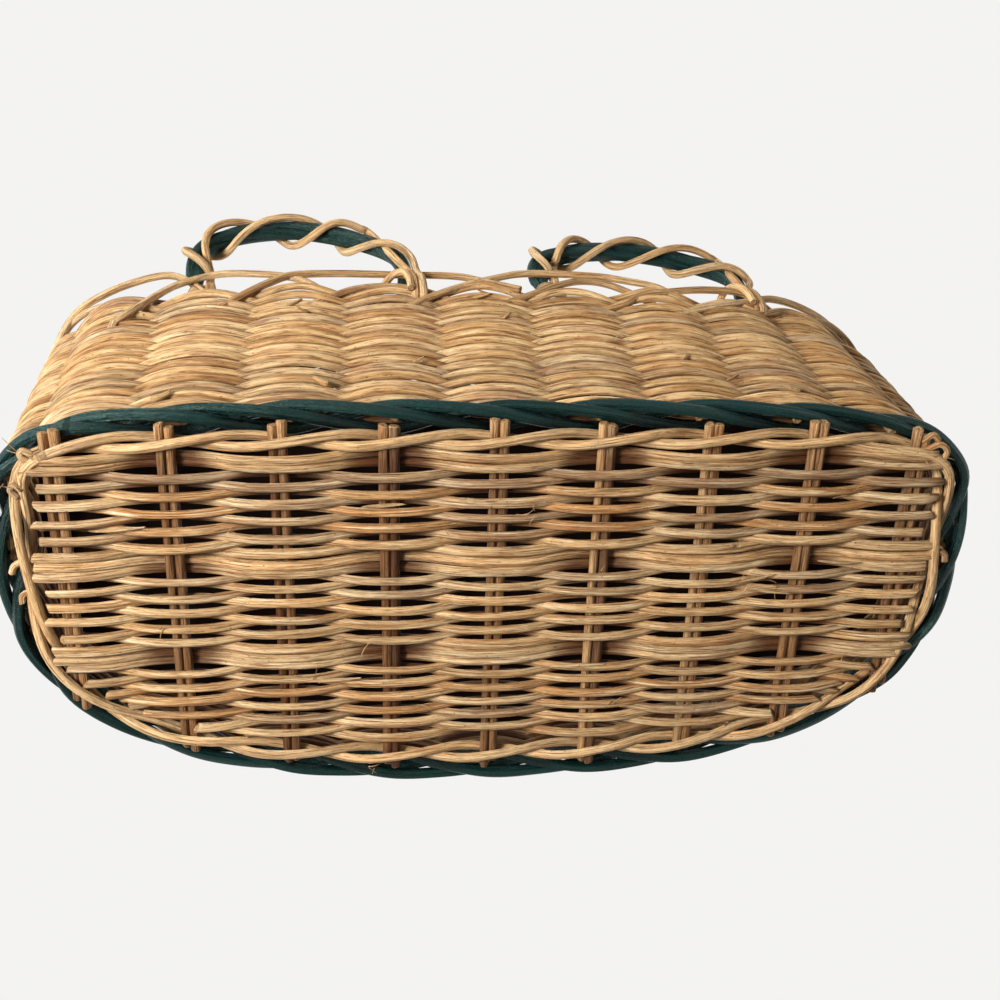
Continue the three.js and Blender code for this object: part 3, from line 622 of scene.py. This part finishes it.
# Loops where the binding's rods were joined: points of x, y, z
KNOTS = (
    ((205, 53, 3.4), (207.8, 55.6, 2.6), (206.8, 58, 2.5), (203.8, 56.8, 2.9)),
    ((212, 36, 3.5), (214.2, 39.6, 2.5), (212.4, 42, 2.4), (210, 39.8, 3)),
    ((214, 4, 4), (217.5, 2, 3), (218.6, -0.5, 2.6)),
    ((212, -11, 4), (215.5, -13, 3), (215.8, -16, 2.6)),
    ((-199, 56, 4), (-204, 59, 2.6), (-208, 55.5, 2.4), (-206.5, 50, 3)),
    ((-212, 4, 4), (-216.5, 2, 3), (-217.5, -1.5, 2.8)),
    ((-197, 60, 5), (-200, 63.5, 3.2), (-203, 61, 3.4)),
)


def knots(rods):
    for points in KNOTS:
        rods.add(smooth_path(points, 0.8), 1.5, thick=0.8, sides=12, flute=0.2, cut=(0.4, 0.4))


BINDING_RADIUS = 2.15
BINDING_SWING = 2.4
BINDING_LIFT = 3.83


def edge_binding():
    """Two rods that twine round the base, one under and one over each stick pair."""
    rods = Rods(31)
    t = np.arange(0, edge.count, STATION_STEP)
    for strand in range(2):
        turn = math.pi * (t + strand)
        level = -np.cos(turn)
        level = level * (1.25 - 0.25 * level ** 2)
        path = edge_point(t, BINDING_SWING * np.sin(turn), MID_Z + BINDING_LIFT * level)
        # Painted shade: each strand is darker where it passes over the pairs on the inside.
        deep = 0.9 * np.clip(level, 0, 1)
        rods.add(path, BINDING_RADIUS, closed=True, sides=16, flute=0.14, wide=1.06, thick=0.9,
                 deep=deep)
    knots(rods)
    rods.piece("edge_binding", binding_mat, "binding_rods", "edge_binding_rod_a", "edge_binding_rod_b")


# The stroke of a wale rod at each half stake: its distance out of the wall and its rise
WALE_STROKE = [(4.99, 2.9), (6.05, 0.0), (4.99, -2.9), (0.0, -3.0), (-4.99, 0.0), (0.0, 3.0)]
WALE_RADIUS = 2.62
# How much painted shade darkens a wale rod where it passes inside a stake
WALE_DEEP = 2.4


def foot_wale():
    """Three green rods, each outside two stakes and inside the third."""
    rods = Rods(41)
    for rod in range(3):
        keys = []
        for i in range(stakes.count * 2):
            offset, rise = WALE_STROKE[(i + rod * 2) % 6]
            deep = WALE_DEEP if offset <= 0 else 0.0
            keys.append(np.append(on_wall(i / 2, rise, offset), deep))
        path = smooth_path(keys, 3.0, closed=True)
        rods.add(path[:, :3], WALE_RADIUS, closed=True, sides=20, flute=0.22,
                 tint=rods.rng.uniform(0.2, 0.8), deep=path[:, 3])
    rods.piece("foot_wale", green_mat, "green_rods", *[f"foot_wale_rod_{t}" for t in "abc"])


def row_breaks(rng, row):
    """Where the rods of a row meet: always behind a stake, about every five stakes."""
    first = rng.integers(0, 12) * 2 + (row + 1) % 2
    breaks = [first]
    while breaks[-1] < first + stakes.count - 10:
        breaks.append(breaks[-1] + 2 * rng.integers(4, 8))
    return [b for b in breaks if b <= first + stakes.count - 6] + [first + stakes.count]


# Cut ends, nubs and lifted fibres on the back wall: station, height, their reach and thickness
SNAGS = ((4.2, 83, 0.06, 1.0), (2.35, 21, -0.10, 1.7), (3.9, 103, 0.16, 0.7), (4.1, 107, -0.14, 0.7),
         (6.0, 44, 0.05, 0.9), (1.9, 96, 0.12, 0.8), (2.1, 88, -0.10, 0.7), (0.7, 12, 0.14, 1.7),
         (5.2, 60, 0.16, 0.5), (7.1, 18, -0.12, 1.6), (6.4, 26, 0.10, 0.8), (3.2, 40, 0.10, 0.6))


def snags(rods):
    for station, height, reach, thick in SNAGS:
        t = station + reach * np.linspace(0, 1, 6)
        h = height + 2.0 * np.linspace(0, 1, 6) ** 2
        path = on_wall(t, h, np.linspace(5.2, 6.6, 6))
        rods.add(path, np.linspace(thick, thick * 0.7, 6), sides=9, tint=rods.rng.uniform(),
                 cut=(0, 0.8))


# How far the wall's rods swing out and in, and how far each runs on past the stake where it
# meets the next one, in stations
WALL_SWING = 4.2
WALL_OVERLAP = 0.45


def wall_rods():
    """Rows that pass outside one stake and inside the next, packed close."""
    rods = Rods(53)
    rng = rods.rng
    pitch = (WALL_TOP - WALL_START) / (ROWS - 1)
    for row in range(ROWS):
        height = WALL_START + row * pitch
        breaks = row_breaks(rng, row)
        for a, b in zip(breaks[:-1], breaks[1:]):
            t = np.arange(a - WALL_OVERLAP, b + WALL_OVERLAP, STATION_STEP)
            wave = np.cos(math.pi * (t + row))
            full = wave ** 2
            end = np.clip(np.minimum(t - t[0], t[-1] - t) / 0.9, 0, 1)
            lean = np.where(t < (a + b) / 2, 1.0, -1.0) * (1 - end)
            sway = np.interp(t, [t[0], t[-1]], rng.uniform(-0.45, 0.45, 2))
            ripple = rng.uniform(0.2, 0.5) * np.sin(t * rng.uniform(1.1, 2.3) + rng.uniform(0, 6))
            offset = WALL_SWING * wave * (1.12 - 0.12 * full) * (1 + 0.08 * np.sin(t * 2.3 + row))
            size = rng.uniform(0.95, 1.06) * np.linspace(1.03, 0.95, len(t)) * (0.6 + 0.4 * end)
            crown = max(0, row - ROWS + 5) * np.clip(wave, 0, 1) ** 2
            _, up, out = wall_frame(t)
            # Painted shade: the rods are darker where they swing in behind the stakes.
            rods.add(on_wall(t, height + sway + ripple + lean + crown, offset), size, up=out, sides=14,
                     flute=0.12, wide=2.0 + 0.25 * full, thick=1.8 + 0.15 * full, cut=(0.5, 1.2),
                     deep=1.5 * np.clip(0.35 - wave, 0, 1))
    snags(rods)
    rods.piece("wall_rods", wall_mat, "wall_rods", "wall_weave")


# An arch of the border: stations on from its stake, height above its start, and offset
ARCH_START = WALL_TOP + 2
ARCH = [(0.0, 0.0, 0.0), (0.3, 7.0, 4.3), (0.62, 13.0, 4.3), (1.0, 15.5, 3.5), (1.4, 14.5, 1.5),
        (1.8, 9.5, 0.0), (2.15, 0.0, -0.5), (2.3, -5.0, -0.8)]


# The back's arches as far as they differ from the rest: station, height and offset
ARCHES = {
    -1: ((-0.99, 112, 3.5), (-0.9, 124, 4), (-0.59, 131.4, 4), (-0.25, 132.1, 4), (0.11, 135.2, 4),
         (0.49, 137.0, 4), (0.72, 133, 2), (0.95, 122, -1), (1.1, 112, -2)),
    0: ((0.05, 84, 2), (0.09, 90, 5.6), (0.23, 96.3, 6.2), (0.45, 112, 5), (0.68, 124, 4.4),
        (1.07, 132, 4.2), (1.43, 131.6, 4.2), (1.79, 128.7, 4), (2.05, 126, 2), (2.3, 117, -1),
        (2.45, 108, -2)),
    1: ((1.25, 103, 3), (1.45, 110.7, 4.5), (1.65, 120, 4.5), (1.91, 128.6, 4.5), (2.41, 130.7, 4.3),
        (3.1, 130.1, 4), (3.71, 129.3, 4), (4.05, 122.8, 4.2), (4.43, 113, 5)),
    2: ((2.3, 108, 2), (2.6, 114, 4), (3.0, 117, 4), (3.4, 113, 3), (3.7, 107, 0)),
    3: ((3.25, 101, 3), (3.52, 108.2, 4.6), (3.8, 117.1, 4.6), (4.2, 127, 4.4), (4.56, 132.4, 4.2),
        (5.29, 131.3, 4), (5.7, 127, 4), (6.07, 122.1, 3.5), (6.35, 113, 1), (6.5, 106, -1)),
    4: ((4.5, 109, 3), (4.85, 118, 4.5), (5.15, 124, 4.4), (5.45, 122, 4), (5.8, 113, 2), (6.0, 106, 0)),
    5: ((5.55, 101, 3), (5.79, 109.4, 4.5), (6.19, 116, 4.6), (6.6, 121.8, 4.5), (7.11, 125.9, 4.5),
        (7.35, 126, 3), (7.6, 120, 0), (7.8, 110, -2)),
    6: ((6.45, 101, 3), (6.85, 106, 5), (7.15, 113.4, 4.8), (7.41, 121.8, 4.5), (7.7, 128.6, 4.5),
        (8.15, 133, 4.2), (8.5, 131, 4), (8.9, 124, 1), (9.1, 114, -1)),
    7: ((7.4, 108, 3), (7.8, 117, 4), (8.3, 119, 3), (8.7, 114, 1), (8.9, 107, 0)),
}


STAKE_TIP = 1.8
# Two pale tips that end at the wale, in the middle of the back: height and offset
TIP_APART = 0.055
TIP = ((14.0, 0.0), (8.0, 2.5), (4.5, 4.6), (3.2, 5.2))


def stakes_and_border():
    """Stakes that bend over into arches, each tucked down beside the second next stake."""
    rods = Rods(61)
    rng = rods.rng
    for s in range(-1, stakes.count - 1):
        rise = rng.uniform(0.9, 1.08)
        reach = rng.uniform(0.97, 1.08)
        arch = ARCHES.get(s, [(s + a * reach, ARCH_START + h * rise, o) for a, h, o in ARCH])
        low = np.linspace(0.5, min(ARCH_START, arch[0][1]) - 8, 12)
        keys = [(s * STAKE_STEP, low[-1], 0.0)] + [(t * STAKE_STEP, h, o) for t, h, o in arch]
        arch = smooth_path(keys, 2.5)[1:]
        t = np.concatenate([np.full(12, float(s)), arch[:, 0] / STAKE_STEP])
        h = np.concatenate([low, arch[:, 1]])
        o = np.concatenate([np.zeros(12), arch[:, 2]])
        _, up, out = wall_frame(t)
        rods.add(on_wall(t, h, o), np.linspace(STAKE_RADIUS, STAKE_TIP, len(t)), up=out, sides=14,
                 flute=0.11, tint=rng.uniform(0.3, 0.9))
    heights, offsets = np.array(TIP).T
    for side in (-1, 1):
        t = np.full(len(TIP), REACH + TIP_APART * side)
        rods.add(on_wall(t, heights, offsets), STAKE_RADIUS, up=(1, 0, 0), sides=14, flute=0.1,
                 tint=0.75, bevel=0.7)
    rods.piece("stakes_and_border", border_mat, "border_rods", "stakes_and_border_a",
               "stakes_and_border_b")


# Handles: bows in a leaning plane, from one leg to the other
HANDLE_LEAN = math.radians(28)
BOW_START = 16.5
LEG_OFFSET = -4.93
LEG_RADIUS = 1.9
STRAND_RADIUS = 3.3
CORE_RADIUS = 5.5
WRAP_RADIUS = 2.05
CORE_TURNS = 0.9
BOW_BULGE = 0.3
BOW_POWER = 0.9
RISE_WAY = np.array([0, math.sin(HANDLE_LEAN), math.cos(HANDLE_LEAN)])
FACE_WAY = np.array([0, math.cos(HANDLE_LEAN), -math.sin(HANDLE_LEAN)])
# Each handle: its legs' x, its rise, its skew, and the two runs of its wrap as pairs of
# half turns round the core and shares of the way along the bow
HANDLES = {
    "left": ((146.5, 42.0), 64.5, 12.0,
             [[(-0.5, 0.07), (0.5, 0.42), (1.5, 0.56), (2.5, 0.71), (2.6, 0.95)],
              [(-0.5, 0.05), (0.5, 0.20), (1.5, 0.34), (2.5, 0.58), (3.5, 0.70), (4.4, 0.90),
               (4.45, 0.97)]]),
    "right": ((-35.5, -144.5), 53.0, 14.0,
              [[(-0.5, 0.25), (0.5, 0.44), (1.5, 0.55), (2.5, 0.77), (2.6, 0.95)],
               [(-0.5, 0.07), (0.5, 0.27), (1.5, 0.40), (2.5, 0.60), (3.5, 0.70), (4.4, 0.93),
                (4.45, 0.97)]]),
}


# The loop of a wrap round its second foot: station from the foot, height and offset
WRAP_LOOP = ((-0.24, -2, -3), (-0.22, 9, -2), (-0.1, 16, 3.5), (0.03, 15, 7), (0.1, 7, 8),
             (0.12, -3, 7.2))


class Bow:
    """The line of a handle, from its first foot at 0 to its second foot at 1."""

    def __init__(self, feet, rise, skew):
        self.feet = feet
        self.rise = rise
        self.skew = skew
        self.top = [on_wall(REACH - x / STAKE_STEP, WALL_TOP + BOW_START, LEG_OFFSET) for x in feet]

    def point(self, u):
        turn = math.pi * u
        sweep = np.sin(turn)
        foot = self.top[0] + (self.top[1] - self.top[0]) * u[..., None]
        centre = sum(self.feet) / 2
        half = self.top[0][0] - centre
        foot[..., 0] = centre + half * np.cos(turn) * (1 + BOW_BULGE * sweep) + self.skew * sweep ** 2
        return foot + RISE_WAY * ((self.rise - BOW_START) * np.maximum(sweep, 0) ** BOW_POWER)[..., None]

    def frame(self, u):
        """Points of the bow with the way out of the bow and the way to its face."""
        p = self.point(u)
        tangent = unit(self.point(np.minimum(u + 0.004, 1)) - self.point(np.maximum(u - 0.004, 0)))
        outer = unit(np.cross(FACE_WAY, tangent))
        return p, outer, np.cross(tangent, outer)

    def leg(self, x):
        station = REACH - x / STAKE_STEP
        return np.array([on_wall(station, WALL_TOP + h, LEG_OFFSET) for h in (-18, -8, 0, 6)])


def core_growth(u):
    """How full the core is: at once at its first foot, and thinner towards its second."""
    return np.clip(u / 0.06, 0, 1) * (1 - 0.45 * np.clip((u - 0.72) / 0.26, 0, 1) ** 1.3)


def handle_core(tag, bow):
    """Three strands that lie close and turn a little round each other."""
    rods = Rods(71 + len(tag))
    u = np.linspace(0, 1, 70)
    p, outer, face = bow.frame(u)
    legs = [bow.leg(x) for x in bow.feet]
    axis = np.concatenate([legs[0], p, legs[1][::-1]])
    n = len(legs[0])
    outer = np.concatenate([np.repeat(outer[:1], n, 0), outer, np.repeat(outer[-1:], n, 0)])
    face = np.concatenate([np.repeat(face[:1], n, 0), face, np.repeat(face[-1:], n, 0)])
    grow = np.concatenate([np.zeros(n), core_growth(u), np.zeros(n)])
    along = np.concatenate([np.zeros(n), u, np.ones(n)])
    for strand in range(3):
        a = 2 * math.pi * (strand / 3 + CORE_TURNS * along)
        away = (CORE_RADIUS - STRAND_RADIUS) * grow
        path = axis + outer * (np.cos(a) * away)[:, None] + face * (np.sin(a) * away)[:, None]
        radius = LEG_RADIUS * 0.8 + (STRAND_RADIUS - LEG_RADIUS * 0.8) * grow
        rods.add(path, radius, up=face, sides=16, flute=0.1, tint=rods.rng.uniform(0.2, 0.9))
    rods.piece(f"handle_core_{tag}", green_mat, "green_rods", f"handle_core_{tag}")


def wrap_run(bow, keys):
    """A run of the wrap from its keys. Turns count from the face towards the outer side."""
    keys = np.array(keys)
    turns = np.linspace(keys[0, 0], keys[-1, 0], 150)
    curve = smooth_path(keys * [1, 4], 0.05)
    u = np.interp(turns, curve[:, 0], curve[:, 1] / 4)
    p, outer, face = bow.frame(u)
    a = math.pi * turns
    out = outer * np.sin(a)[:, None] + face * np.cos(a)[:, None]
    radius = LEG_RADIUS + (CORE_RADIUS + 0.2 - LEG_RADIUS) * core_growth(u) + WRAP_RADIUS
    return p + out * radius[:, None]


def handle_wrap(tag, bow, runs):
    """Two runs from foot to foot, a tail at the first foot and a loop round the second."""
    rods = Rods(81 + len(tag))
    start = REACH - bow.feet[0] / STAKE_STEP
    foot = REACH - bow.feet[1] / STAKE_STEP
    for k, keys in enumerate(runs):
        path = wrap_run(bow, keys)
        side = foot + 0.13 + 0.09 * k
        over = [on_wall(side - 0.03, WALL_TOP + 15.5, 6.6),
                on_wall(side + 0.02, WALL_TOP + 8, 7.0),
                on_wall(side + 0.04, WALL_TOP + 0.5 - 4 * k, 5.6),
                on_wall(side + 0.04, WALL_TOP - 6, 0.5)]
        down = [on_wall(start + 0.12 + 0.05 * k, WALL_TOP + h, o)
                for h, o in ((-6, -1.5), (3, -1), (11, -1.5))]
        points = smooth_path(np.concatenate([down, path[::5], over]), 1.6)
        rods.add(points, WRAP_RADIUS, up=FACE_WAY, sides=14, flute=0.1, tint=0.45 + 0.3 * k)
    tail = wrap_run(bow, [(0.75, 0.17), (0.5, 0.145), (0.0, 0.085), (-0.42, 0.02), (-0.55, 0.0)])
    tail = np.concatenate([tail[::8], [on_wall(start + 0.1, WALL_TOP + 8, -1.5)]])
    rods.add(smooth_path(tail, 1.6), WRAP_RADIUS, up=FACE_WAY, sides=14, flute=0.1, tint=0.75)
    loop = [on_wall(foot + step, WALL_TOP + h, o) for step, h, o in WRAP_LOOP]
    rods.add(smooth_path(loop, 1.4), WRAP_RADIUS * 0.95, up=FACE_WAY, sides=14, flute=0.1, tint=0.7)
    rods.piece(f"handle_wrap_{tag}", binding_mat, "binding_rods", f"handle_wrap_{tag}")


base_sticks()
base_rows()
edge_binding()
foot_wale()
wall_rods()
stakes_and_border()
for tag, (feet, rise, skew, runs) in HANDLES.items():
    bow = Bow(feet, rise, skew)
    handle_core(tag, bow)
    handle_wrap(tag, bow, runs)


def one_sided(material, fade):
    """Seen by the camera from its front only, within the fade's distances, and otherwise clear."""
    geometry = material.tree.nodes.new("ShaderNodeNewGeometry")
    path = material.tree.nodes.new("ShaderNodeLightPath")
    front = material.math("SUBTRACT", 1.0, geometry.outputs["Backfacing"])
    seen = material.math("MULTIPLY", path.outputs["Is Camera Ray"], front)
    clear = material.tree.nodes.new("ShaderNodeBsdfTransparent")
    if fade:
        spot = material.tree.nodes.new("ShaderNodeVectorMath")
        spot.operation = "LENGTH"
        material.link(geometry.outputs["Position"], spot.inputs[0])
        near = material.spread(spot.outputs["Value"], fade[0], fade[1], 1.0, 0.0)
        seen = material.math("MULTIPLY", seen, near)
    choose = material.tree.nodes.new("ShaderNodeMixShader")
    material.link(seen, choose.inputs[0])
    material.link(clear.outputs[0], choose.inputs[1])
    material.link(material.bsdf.outputs[0], choose.inputs[2])
    material.link(choose.outputs[0], material.out.inputs[0])


def stage_sheet(name, outline, colour, glow=0.0, fade=None):
    """A flat sheet of the stage that faces the way its outline turns."""
    mesh = bpy.data.meshes.new(name)
    mesh.from_pydata(outline, [], [tuple(range(len(outline)))])
    sheet = bpy.data.objects.new(name, mesh)
    bpy.context.scene.collection.objects.link(sheet)
    material = Nodes(name)
    material.bsdf.inputs["Base Color"].default_value = (*colour, 1)
    material.bsdf.inputs["Roughness"].default_value = 0.85
    material.bsdf.inputs["Specular IOR Level"].default_value = 0.1
    material.bsdf.inputs["Emission Color"].default_value = (*colour, 1)
    material.bsdf.inputs["Emission Strength"].default_value = glow
    one_sided(material, fade)
    mesh.materials.append(material.mat)


# The floor shows from above. The shade card is painted shade: a dark sheet that lies inside the basket,
# shows from below only, and keeps it dark behind the open base.
FLOOR_HALF = 3.0
FLOOR_Z = -0.0004
FLOOR_COLOUR = (0.80, 0.795, 0.785)
FLOOR_GLOW = 0.35
FLOOR_FADE = (0.8, 1.9)
CARD_COLOUR = (0.02, 0.012, 0.010)
CARD_Z = 44.0
CARD = (214.5, 68.0, 118.0, 5.0, 4.6, 2.6)
floor_corners = ((-1, -1), (1, -1), (1, 1), (-1, 1))
floor_points = [(x * FLOOR_HALF, y * FLOOR_HALF, FLOOR_Z) for x, y in floor_corners]
stage_sheet("floor", floor_points, FLOOR_COLOUR, FLOOR_GLOW, FLOOR_FADE)
card_angles = np.linspace(2 * math.pi, 0, 72, endpoint=False)
card_points = (with_z(ring_point(CARD, card_angles), CARD_Z) + SHIFT) * MM
stage_sheet("shade_card", [tuple(p) for p in card_points.tolist()], CARD_COLOUR)


# The world's own light, and the pale background that cameras and reflections see instead
WORLD_LIGHT = (1.0, 0.97, 0.93, 1)
WORLD_STRENGTH = 0.17
BACKGROUND = (0.90, 0.895, 0.885, 1)


def make_world():
    world = bpy.data.worlds.new("world")
    bpy.context.scene.world = world
    world.use_nodes = True
    tree = world.node_tree
    tree.nodes.clear()
    out = tree.nodes.new("ShaderNodeOutputWorld")
    mix = tree.nodes.new("ShaderNodeMixShader")
    soft = tree.nodes.new("ShaderNodeBackground")
    soft.inputs[0].default_value = WORLD_LIGHT
    soft.inputs[1].default_value = WORLD_STRENGTH
    shown = tree.nodes.new("ShaderNodeBackground")
    shown.inputs[0].default_value = BACKGROUND
    shown.inputs[1].default_value = 1.0
    rays = tree.nodes.new("ShaderNodeLightPath")
    seen = rays.outputs["Is Camera Ray"]
    for kind in ("Is Transmission Ray", "Is Glossy Ray"):
        either = tree.nodes.new("ShaderNodeMath")
        either.operation = "MAXIMUM"
        tree.links.new(seen, either.inputs[0])
        tree.links.new(rays.outputs[kind], either.inputs[1])
        seen = either.outputs[0]
    tree.links.new(seen, mix.inputs[0])
    tree.links.new(soft.outputs[0], mix.inputs[1])
    tree.links.new(shown.outputs[0], mix.inputs[2])
    tree.links.new(mix.outputs[0], out.inputs[0])


def lamp(name, place, aim, size, power, colour=(1, 1, 1), gloss=True):
    """A rectangular lamp, with its place, aim and size in m and its power in W."""
    data = bpy.data.lights.new(name, "AREA")
    data.shape = "RECTANGLE"
    data.size, data.size_y = size
    data.energy = power
    data.color = colour
    obj = bpy.data.objects.new(name, data)
    obj.visible_glossy = gloss
    bpy.context.scene.collection.objects.link(obj)
    back = unit(np.array(place, float) - np.array(aim, float))
    side = unit(np.cross([0, 0, 1.0], back))
    rise = np.cross(back, side)
    rows = [[side[i], rise[i], back[i], place[i]] for i in range(3)]
    obj.matrix_world = Matrix(rows + [[0, 0, 0, 1]])


make_world()
lamp("key_below", (0.82, 0.52, -0.72), (0, 0.02, 0.04), (0.42, 0.32), 22.5, (1.0, 0.98, 0.95))
lamp("side_left", (1.2, 0.35, 0.0), (0.15, 0.05, 0.06), (0.5, 0.5), 5, (0.62, 0.82, 1.0))
lamp("front_above", (-0.8, -1.4, 0.75), (0, 0, 0.08), (0.9, 0.7), 34, (1.0, 0.98, 0.95), gloss=False)
lamp("back_above", (0.4, 1.4, 0.65), (0, 0, 0.08), (0.9, 0.7), 7, gloss=False)
lamp("side_right", (-1.3, 0.6, 0.7), (0, 0, 0.08), (0.7, 0.7), 7, gloss=False)

bpy.context.scene.view_settings.view_transform = "Standard"
